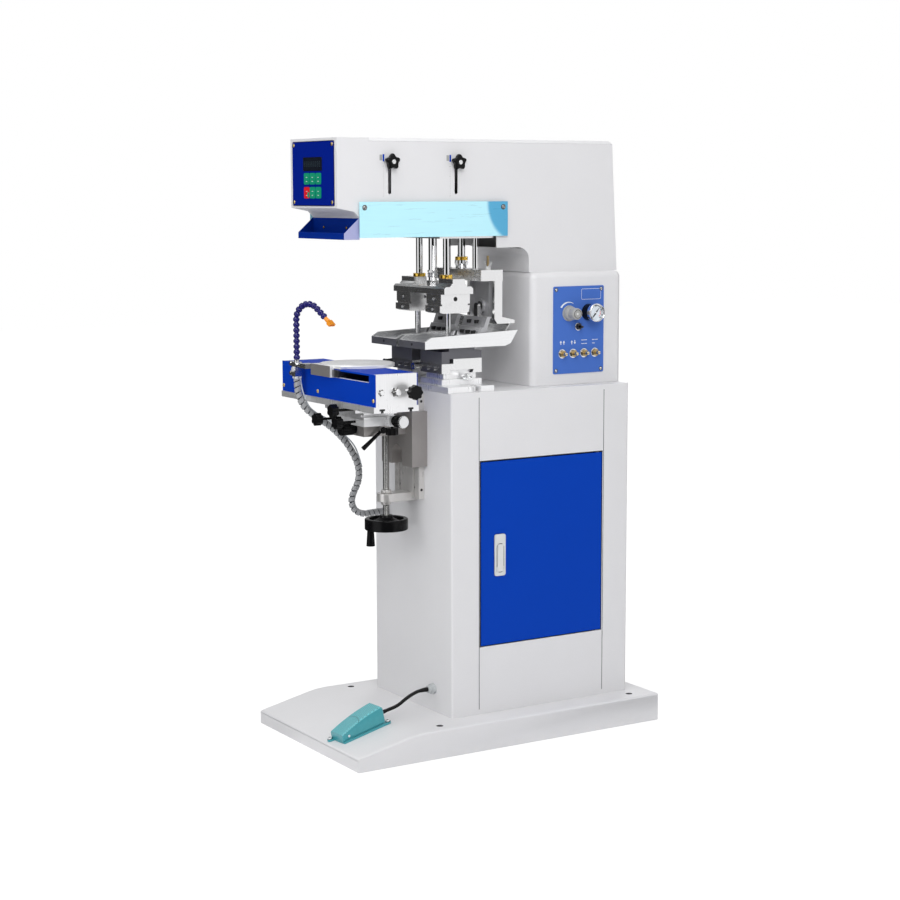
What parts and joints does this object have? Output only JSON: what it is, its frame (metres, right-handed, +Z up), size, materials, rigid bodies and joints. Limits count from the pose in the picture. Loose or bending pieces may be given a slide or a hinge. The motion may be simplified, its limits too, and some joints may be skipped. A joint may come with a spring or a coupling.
{
  "type": "pad printing machine",
  "caption": "Floor-standing pneumatic pad printer with open ink trays, an overhead print head and a worktable that shuttles left and right.",
  "frame": {"origin": "on the floor under the centre of the base", "axes": "+Z up, the front with the control panel faces -Y, the cabinet door is on +X"},
  "size_m": [0.515, 0.853, 1.425],
  "materials": {
    "frame_paint": "fine-textured powder coat, light grey",
    "blue_paint": "smooth powder coat, royal blue",
    "panel_blue": "printed panel, mid blue, satin",
    "deep_blue_film": "glossy keypad film, deep blue",
    "pale_film": "pale cyan protective film on sheet metal",
    "machined_steel": "ground and milled steel",
    "machined_aluminium": "milled aluminium",
    "bright_metal": "bright plated steel",
    "chrome_rod": "hard chrome, ground",
    "gauge_chrome": "polished bezel",
    "brass": "turned brass",
    "black_plastic": "black moulded grip",
    "grey_plastic": "light grey moulded knob",
    "hose_plastic": "navy jointed hose",
    "tube_plastic": "grey spiral wrap",
    "teal_plastic": "turquoise enamel",
    "cable_rubber": "black sheath"
  },
  "bodies": {
    "frame": {"base": "frame_paint", "column": "frame_paint", "rear_housing": "frame_paint", "head_housing": "frame_paint", "air_panel": "panel_blue", "pressure_gauge": "gauge_chrome", "control_panel": "deep_blue_film", "tool_tray": "blue_paint", "guard_plates": "pale_film", "carriage_rails": "chrome_rod", "tray_base": "machined_steel", "vertical_guide": "machined_aluminium", "foot_switch_base": "teal_plastic", "foot_cable": "cable_rubber", "tube_bundle": "tube_plastic"},
    "door": {"cabinet_door": "blue_paint"},
    "door_lock": {"door_lever": "bright_metal"},
    "regulator": {"regulator_knob": "grey_plastic"},
    "needle": {"gauge_needle": "black_plastic"},
    "toggle": {"toggle_lever": "brass"},
    "carriage": {"print_carriage": "machined_steel"},
    "front_stop": {"stop_knob_front": "black_plastic"},
    "rear_stop": {"stop_knob_rear": "black_plastic"},
    "pad_head": {"pad_beam": "machined_steel", "pad_rods": "chrome_rod", "pad_holder_left": "machined_steel", "pad_holder_right": "machined_steel"},
    "blade_head": {"blade_beam": "machined_steel", "blade_rods": "chrome_rod"},
    "doctor_left": {"doctor_blade_left": "machined_steel"},
    "doctor_right": {"doctor_blade_right": "machined_steel"},
    "stage_left": {"tray_stage_left": "machined_steel"},
    "stage_right": {"tray_stage_right": "machined_steel"},
    "tray_left": {"ink_tray_left": "machined_aluminium"},
    "tray_right": {"ink_tray_right": "machined_aluminium"},
    "side_knob_left": {"stage_side_knob_left": "bright_metal"},
    "side_knob_right": {"stage_side_knob_right": "bright_metal"},
    "front_knob_left": {"stage_front_knob_left": "bright_metal"},
    "front_knob_right": {"stage_front_knob_right": "bright_metal"},
    "saddle": {"table_saddle": "machined_aluminium"},
    "wheel": {"lead_screw": "chrome_rod", "handwheel": "black_plastic"},
    "saddle_clamp": {"clamp_lever": "black_plastic"},
    "cross": {"cross_slide": "machined_aluminium"},
    "feed_y": {"feed_knob_y": "black_plastic"},
    "feed_x": {"feed_knob_x": "black_plastic"},
    "clamp_left": {"clamp_knob_left": "black_plastic"},
    "clamp_low": {"clamp_knob_low": "black_plastic"},
    "clamp_high": {"clamp_knob_high": "black_plastic"},
    "clamp_under": {"clamp_knob_under": "black_plastic"},
    "shuttle": {"shuttle_body": "machined_aluminium", "shuttle_cover": "blue_paint", "air_hose": "hose_plastic"},
    "shuttle_stop": {"shuttle_stop_knob": "black_plastic"},
    "table": {"work_table": "machined_steel"},
    "pedal": {"foot_pedal": "teal_plastic"},
    "valve_1": {"flow_valve_1": "brass"},
    "valve_2": {"flow_valve_2": "brass"},
    "valve_3": {"flow_valve_3": "brass"},
    "valve_4": {"flow_valve_4": "brass"}
  },
  "joints": [
    {"name": "door_hinge", "type": "hinge", "parent": "frame", "child": "door", "pos_m": [0.173, 0.288, 0.45], "axis": [0, 0, 1], "range_deg": [0, 100]},
    {"name": "door_lock_turn", "type": "hinge", "parent": "door", "child": "door_lock", "pos_m": [0.1854, -0.002, 0.412], "axis": [0, 1, 0], "range_deg": [0, 35]},
    {"name": "regulator_turn", "type": "hinge", "parent": "frame", "child": "regulator", "pos_m": [0.14, 0.224, 1.012], "axis": [1, 0, 0], "range_deg": [-720, 720]},
    {"name": "needle_turn", "type": "hinge", "parent": "frame", "child": "needle", "pos_m": [0.14, 0.282, 1.013], "axis": [1, 0, 0], "range_deg": [-200, 70]},
    {"name": "toggle_tilt", "type": "hinge", "parent": "frame", "child": "toggle", "pos_m": [0.1435, 0.252, 0.979], "axis": [0, 1, 0], "range_deg": [-12, 12]},
    {"name": "carriage_slide", "type": "slide", "parent": "frame", "child": "carriage", "axis": [0, -1, 0], "range_m": [0, 0.21]},
    {"name": "front_stop_slide", "type": "slide", "parent": "frame", "child": "front_stop", "axis": [0, 0, 1], "range_m": [-0.068, 0]},
    {"name": "rear_stop_slide", "type": "slide", "parent": "frame", "child": "rear_stop", "axis": [0, 0, 1], "range_m": [-0.068, 0]},
    {"name": "pad_slide", "type": "slide", "parent": "carriage", "child": "pad_head", "axis": [0, 0, 1], "range_m": [-0.005, 0.075]},
    {"name": "blade_slide", "type": "slide", "parent": "carriage", "child": "blade_head", "axis": [0, 0, 1], "range_m": [0, 0.035]},
    {"name": "doctor_left_tilt", "type": "hinge", "parent": "blade_head", "child": "doctor_left", "pos_m": [-0.066, 0.022, 1.033], "axis": [0, 1, 0], "range_deg": [-1, 1]},
    {"name": "doctor_right_tilt", "type": "hinge", "parent": "blade_head", "child": "doctor_right", "pos_m": [0.066, 0.022, 1.033], "axis": [0, 1, 0], "range_deg": [-1, 1]},
    {"name": "saddle_slide", "type": "slide", "parent": "frame", "child": "saddle", "axis": [0, 0, 1], "range_m": [-0.085, 0.04], "deforming": ["tube_bundle"]},
    {"name": "wheel_turn", "type": "hinge", "parent": "frame", "child": "wheel", "pos_m": [0, -0.207, 0.516], "axis": [0, 0, -1], "range_deg": [-7700, 3650]},
    {"name": "saddle_clamp_turn", "type": "hinge", "parent": "saddle", "child": "saddle_clamp", "pos_m": [0.046, -0.246, 0.75], "axis": [1, 0, 0], "range_deg": [-30, 15]},
    {"name": "cross_slide_y", "type": "slide", "parent": "saddle", "child": "cross", "axis": [0, -1, 0], "range_m": [-0.006, 0.015]},
    {"name": "feed_y_turn", "type": "hinge", "parent": "saddle", "child": "feed_y", "pos_m": [0, -0.29, 0.751], "axis": [0, 1, 0], "range_deg": [-1440, 3600]},
    {"name": "shuttle_slide_x", "type": "slide", "parent": "cross", "child": "shuttle", "axis": [1, 0, 0], "range_m": [-0.01, 0.01]},
    {"name": "feed_x_turn", "type": "hinge", "parent": "cross", "child": "feed_x", "pos_m": [0.112, -0.246, 0.778], "axis": [1, 0, 0], "range_deg": [-2400, 2400]},
    {"name": "clamp_left_turn", "type": "hinge", "parent": "cross", "child": "clamp_left", "pos_m": [-0.048, -0.312, 0.773], "axis": [0, -1, 0], "range_deg": [-180, 90]},
    {"name": "clamp_low_turn", "type": "hinge", "parent": "cross", "child": "clamp_low", "pos_m": [0.04, -0.312, 0.773], "axis": [0, -1, 0], "range_deg": [-180, 90]},
    {"name": "clamp_under_turn", "type": "hinge", "parent": "cross", "child": "clamp_under", "pos_m": [0.094, -0.244, 0.764], "axis": [0, 0, -1], "range_deg": [-180, 90]},
    {"name": "clamp_high_turn", "type": "hinge", "parent": "shuttle", "child": "clamp_high", "pos_m": [0.064, -0.33, 0.805], "axis": [0, -1, 0], "range_deg": [-180, 90]},
    {"name": "shuttle_stop_turn", "type": "hinge", "parent": "shuttle", "child": "shuttle_stop", "pos_m": [0.228, -0.278, 0.858], "axis": [1, 0, 0], "range_deg": [-1080, 1080]},
    {"name": "table_slide", "type": "slide", "parent": "shuttle", "child": "table", "axis": [1, 0, 0], "range_m": [0, 0.13]},
    {"name": "pedal_tilt", "type": "hinge", "parent": "frame", "child": "pedal", "pos_m": [0.113, -0.3907, 0.0543], "axis": [-0.9976, -0.0681, -0.0152], "range_deg": [0, 1.6], "stiffness_Nm_per_rad": 8, "springref_deg": -6.88},
    {"name": "stage_left_slide", "type": "slide", "parent": "frame", "child": "stage_left", "axis": [1, 0, 0], "range_m": [-0.003, 0.003]},
    {"name": "tray_left_slide", "type": "slide", "parent": "stage_left", "child": "tray_left", "axis": [0, 1, 0], "range_m": [-0.003, 0.003]},
    {"name": "side_knob_left_turn", "type": "hinge", "parent": "frame", "child": "side_knob_left", "pos_m": [-0.107, -0.056, 0.871], "axis": [1, 0, 0], "range_deg": [-1440, 1440]},
    {"name": "front_knob_left_turn", "type": "hinge", "parent": "stage_left", "child": "front_knob_left", "pos_m": [-0.0985, -0.122, 0.895], "axis": [0, 1, 0], "range_deg": [-1440, 1440]},
    {"name": "stage_right_slide", "type": "slide", "parent": "frame", "child": "stage_right", "axis": [1, 0, 0], "range_m": [-0.003, 0.003]},
    {"name": "tray_right_slide", "type": "slide", "parent": "stage_right", "child": "tray_right", "axis": [0, 1, 0], "range_m": [-0.003, 0.003]},
    {"name": "side_knob_right_turn", "type": "hinge", "parent": "frame", "child": "side_knob_right", "pos_m": [0.107, -0.056, 0.871], "axis": [1, 0, 0], "range_deg": [-1440, 1440]},
    {"name": "front_knob_right_turn", "type": "hinge", "parent": "stage_right", "child": "front_knob_right", "pos_m": [0.0385, -0.122, 0.895], "axis": [0, 1, 0], "range_deg": [-1440, 1440]},
    {"name": "valve_1_turn", "type": "hinge", "parent": "frame", "child": "valve_1", "pos_m": [0.14, 0.205, 0.9145], "axis": [1, 0, 0], "range_deg": [-1080, 1080]},
    {"name": "valve_2_turn", "type": "hinge", "parent": "frame", "child": "valve_2", "pos_m": [0.14, 0.2372, 0.9145], "axis": [1, 0, 0], "range_deg": [-1080, 1080]},
    {"name": "valve_3_turn", "type": "hinge", "parent": "frame", "child": "valve_3", "pos_m": [0.14, 0.2694, 0.9145], "axis": [1, 0, 0], "range_deg": [-1080, 1080]},
    {"name": "valve_4_turn", "type": "hinge", "parent": "frame", "child": "valve_4", "pos_m": [0.14, 0.3016, 0.9145], "axis": [1, 0, 0], "range_deg": [-1080, 1080]}
  ],
  "couplings": [
    {"joint": "wheel_turn", "follows": "saddle_slide", "rad_per_m": 1570.8},
    {"joint": "feed_y_turn", "follows": "cross_slide_y", "rad_per_m": 4188.8},
    {"joint": "feed_x_turn", "follows": "shuttle_slide_x", "rad_per_m": 4188.8},
    {"joint": "side_knob_left_turn", "follows": "stage_left_slide", "rad_per_m": 8377.6},
    {"joint": "front_knob_left_turn", "follows": "tray_left_slide", "rad_per_m": 8377.6},
    {"joint": "side_knob_right_turn", "follows": "stage_right_slide", "rad_per_m": 8377.6},
    {"joint": "front_knob_right_turn", "follows": "tray_right_slide", "rad_per_m": 8377.6}
  ]
}
